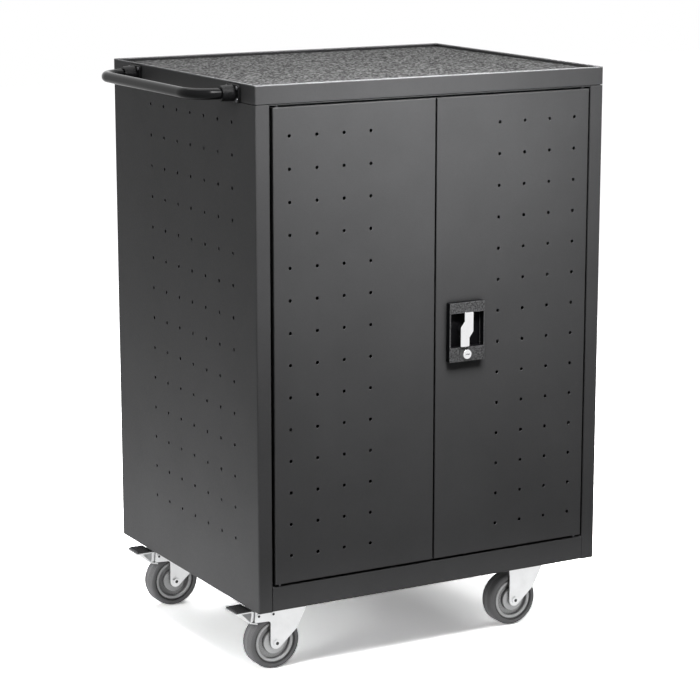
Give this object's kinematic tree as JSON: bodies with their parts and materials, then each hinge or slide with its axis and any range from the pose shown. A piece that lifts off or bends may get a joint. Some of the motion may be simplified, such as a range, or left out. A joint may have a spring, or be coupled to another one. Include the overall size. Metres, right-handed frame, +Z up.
{
  "type": "laptop charging cart",
  "caption": "Locking steel charging cart on swivel casters, with perforated double doors, a turning lever lock, a rubber-topped tray and a push handle.",
  "frame": {"origin": "on the floor, under the centre of the cabinet", "axes": "+X to the right seen from the double doors, +Y towards the rear door, +Z up"},
  "size_m": [0.739, 0.5631, 0.98],
  "materials": {
    "cabinet_paint": "fine texture powder coat",
    "divider_paint": "satin powder coat",
    "mat_rubber": "ribbed and speckled",
    "gloss_black": "gloss enamel",
    "dark_screws": "blackened",
    "lock_black": "fine texture",
    "chrome": "polished",
    "zinc": "bright zinc plate",
    "black_plastic": "matte",
    "switch_plastic": "gloss",
    "wheel_grey": "moulded",
    "tyre_rubber": "matte",
    "pedal_black": "moulded"
  },
  "bodies": {
    "cabinet": {"left_side_panel": "cabinet_paint", "right_side_panel": "cabinet_paint", "base_pan": "cabinet_paint", "bottom_deck": "cabinet_paint", "front_bottom_rail": "cabinet_paint", "rear_bottom_rail": "cabinet_paint", "front_header": "cabinet_paint", "rear_top_panel": "cabinet_paint", "partition": "cabinet_paint", "middle_shelf": "cabinet_paint", "lower_dividers": "divider_paint", "upper_dividers": "divider_paint", "top_lid": "cabinet_paint", "top_mat": "mat_rubber", "push_handle": "gloss_black", "handle_brackets": "gloss_black", "handle_screws": "dark_screws", "hinge_pins": "dark_screws", "caster_plates": "zinc", "kingpins": "zinc", "caster_bolts": "zinc", "power_strips": "black_plastic", "power_inlet": "black_plastic", "fan_frame": "black_plastic", "fan_guard": "chrome", "fan_screws": "zinc"},
    "left_door": {"left_door_panel": "cabinet_paint"},
    "right_door": {"right_door_panel": "cabinet_paint", "lock_case": "lock_black", "rod_guides": "black_plastic"},
    "rear_door": {"rear_door_panel": "cabinet_paint"},
    "lock_lever": {"lever": "chrome", "lock_cam": "zinc"},
    "rod_up": {"upper_rod": "zinc"},
    "rod_down": {"lower_rod": "zinc"},
    "front_key": {"key_cylinder": "chrome"},
    "rear_key": {"rear_lock_cylinder": "chrome"},
    "fan": {"fan_rotor": "black_plastic"},
    "switch_up": {"upper_switch": "switch_plastic"},
    "switch_down": {"lower_switch": "switch_plastic"},
    "fl_swivel": {"fl_fork": "zinc", "fl_axle": "dark_screws"},
    "fl_wheel": {"fl_wheel_core": "wheel_grey", "fl_tyre": "tyre_rubber"},
    "fl_pedal": {"fl_brake_pedal": "zinc", "fl_brake_pad": "pedal_black"},
    "fr_swivel": {"fr_fork": "zinc", "fr_axle": "dark_screws"},
    "fr_wheel": {"fr_wheel_core": "wheel_grey", "fr_tyre": "tyre_rubber"},
    "rl_swivel": {"rl_fork": "zinc", "rl_axle": "dark_screws"},
    "rl_wheel": {"rl_wheel_core": "wheel_grey", "rl_tyre": "tyre_rubber"},
    "rl_pedal": {"rl_brake_pedal": "zinc", "rl_brake_pad": "pedal_black"},
    "rr_swivel": {"rr_fork": "zinc", "rr_axle": "dark_screws"},
    "rr_wheel": {"rr_wheel_core": "wheel_grey", "rr_tyre": "tyre_rubber"}
  },
  "joints": [
    {"name": "left_door_swing", "type": "hinge", "parent": "cabinet", "child": "left_door", "pos_m": [-0.29, -0.2655, 0.554], "axis": [0, 0, -1], "range_deg": [0, 110]},
    {"name": "right_door_swing", "type": "hinge", "parent": "cabinet", "child": "right_door", "pos_m": [0.29, -0.2655, 0.554], "axis": [0, 0, 1], "range_deg": [0, 110]},
    {"name": "rear_door_swing", "type": "hinge", "parent": "cabinet", "child": "rear_door", "pos_m": [0.29, 0.2655, 0.48], "axis": [0, 0, -1], "range_deg": [0, 110]},
    {"name": "lever_turn", "type": "hinge", "parent": "right_door", "child": "lock_lever", "pos_m": [0.05365, -0.27, 0.5576], "axis": [0, 1, 0], "range_deg": [0, 90]},
    {"name": "upper_rod_slide", "type": "slide", "parent": "right_door", "child": "rod_up", "axis": [0, 0, 1], "range_m": [0, 0.0154]},
    {"name": "lower_rod_slide", "type": "slide", "parent": "right_door", "child": "rod_down", "axis": [0, 0, -1], "range_m": [0, 0.0154]},
    {"name": "front_key_turn", "type": "hinge", "parent": "right_door", "child": "front_key", "pos_m": [0.05625, -0.28, 0.5148], "axis": [0, 1, 0], "range_deg": [0, 90]},
    {"name": "rear_key_turn", "type": "hinge", "parent": "rear_door", "child": "rear_key", "pos_m": [-0.272, 0.262, 0.4797], "axis": [0, 1, 0], "range_deg": [0, 90]},
    {"name": "fan_spin", "type": "hinge", "parent": "cabinet", "child": "fan", "pos_m": [0, 0.258, 0.8734], "axis": [0, 1, 0], "continuous": true},
    {"name": "upper_switch_tip", "type": "hinge", "parent": "cabinet", "child": "switch_up", "pos_m": [-0.278, 0.1627, 0.785], "axis": [1, 0, 0], "range_deg": [0, 14]},
    {"name": "lower_switch_tip", "type": "hinge", "parent": "cabinet", "child": "switch_down", "pos_m": [-0.278, 0.1627, 0.408], "axis": [1, 0, 0], "range_deg": [0, 14]},
    {"name": "fl_swivel_turn", "type": "hinge", "parent": "cabinet", "child": "fl_swivel", "pos_m": [-0.236, -0.2005, 0.11], "axis": [0, 0, 1], "continuous": true},
    {"name": "fl_wheel_roll", "type": "hinge", "parent": "fl_swivel", "child": "fl_wheel", "pos_m": [-0.273, -0.2005, 0.0465], "axis": [0, 1, 0], "continuous": true},
    {"name": "fl_pedal_tip", "type": "hinge", "parent": "fl_swivel", "child": "fl_pedal", "pos_m": [-0.306, -0.2005, 0.098], "axis": [0, -1, 0], "range_deg": [0, 8]},
    {"name": "fr_swivel_turn", "type": "hinge", "parent": "cabinet", "child": "fr_swivel", "pos_m": [0.236, -0.2005, 0.11], "axis": [0, 0, 1], "continuous": true},
    {"name": "fr_wheel_roll", "type": "hinge", "parent": "fr_swivel", "child": "fr_wheel", "pos_m": [0.199, -0.2005, 0.0465], "axis": [0, 1, 0], "continuous": true},
    {"name": "rl_swivel_turn", "type": "hinge", "parent": "cabinet", "child": "rl_swivel", "pos_m": [-0.236, 0.1905, 0.11], "axis": [0, 0, 1], "continuous": true},
    {"name": "rl_wheel_roll", "type": "hinge", "parent": "rl_swivel", "child": "rl_wheel", "pos_m": [-0.273, 0.1905, 0.0465], "axis": [0, 1, 0], "continuous": true},
    {"name": "rl_pedal_tip", "type": "hinge", "parent": "rl_swivel", "child": "rl_pedal", "pos_m": [-0.306, 0.1905, 0.098], "axis": [0, -1, 0], "range_deg": [0, 8]},
    {"name": "rr_swivel_turn", "type": "hinge", "parent": "cabinet", "child": "rr_swivel", "pos_m": [0.236, 0.1905, 0.11], "axis": [0, 0, 1], "continuous": true},
    {"name": "rr_wheel_roll", "type": "hinge", "parent": "rr_swivel", "child": "rr_wheel", "pos_m": [0.199, 0.1905, 0.0465], "axis": [0, 1, 0], "continuous": true}
  ],
  "couplings": [
    {"joint": "upper_rod_slide", "follows": "lever_turn", "m_per_rad": 0.00975},
    {"joint": "lower_rod_slide", "follows": "lever_turn", "m_per_rad": 0.00975}
  ]
}
